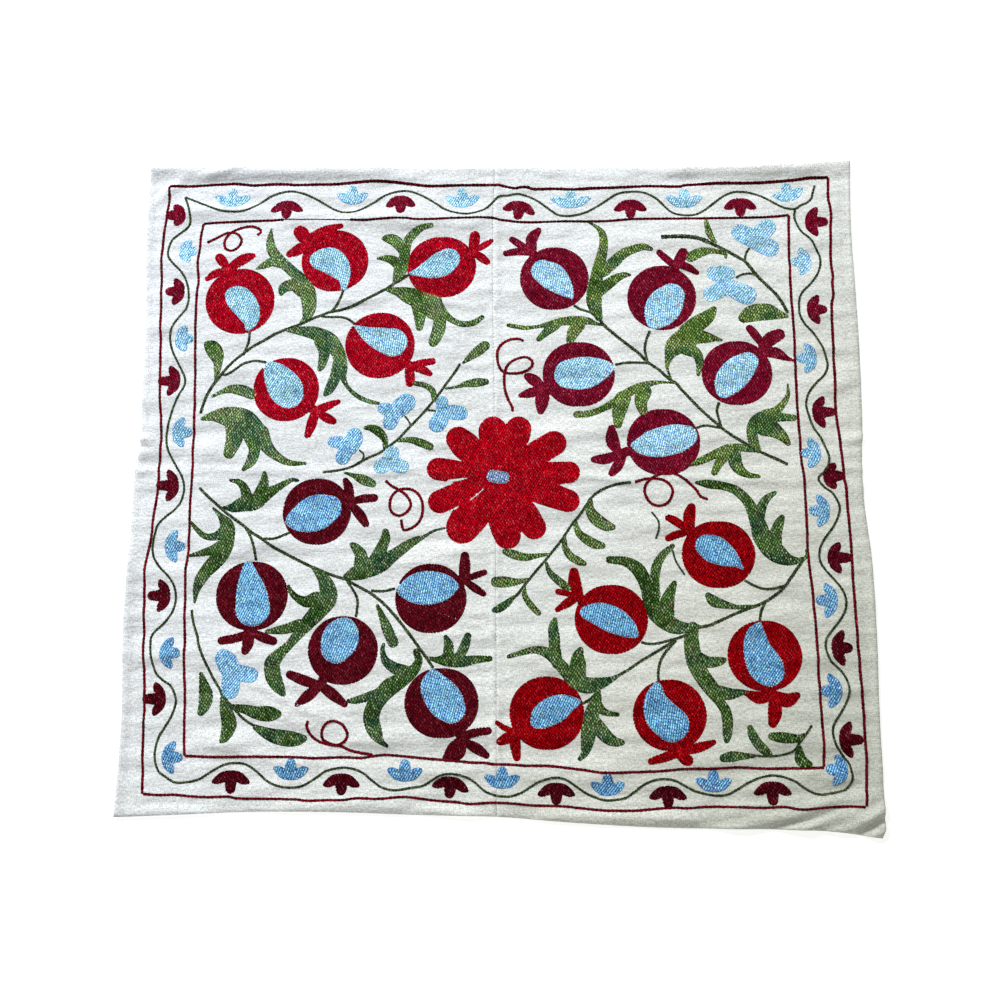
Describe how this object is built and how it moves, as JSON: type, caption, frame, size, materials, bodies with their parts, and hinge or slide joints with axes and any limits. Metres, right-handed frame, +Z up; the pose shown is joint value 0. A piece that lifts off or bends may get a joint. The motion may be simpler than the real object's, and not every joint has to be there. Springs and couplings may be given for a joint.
{
  "type": "suzani embroidered textile",
  "caption": "Square cotton suzani cover of two sewn loom strips, laid out flat with soft folds and lifted margins, as a ground for hand embroidery.",
  "frame": {"origin": "under the middle of the whole cover, on the surface it lies on", "axes": "+X along the longest side, across the two strips; +Y along the seam to the far edge; +Z up through the cloth"},
  "size_m": [0.9572, 0.875, 0.0095],
  "materials": {
    "cotton_left": "matt hand-loomed cotton",
    "cotton_right": "matt hand-loomed cotton"
  },
  "bodies": {
    "root": {"panel_left": "cotton_left", "panel_right": "cotton_right"}
  },
  "joints": []
}
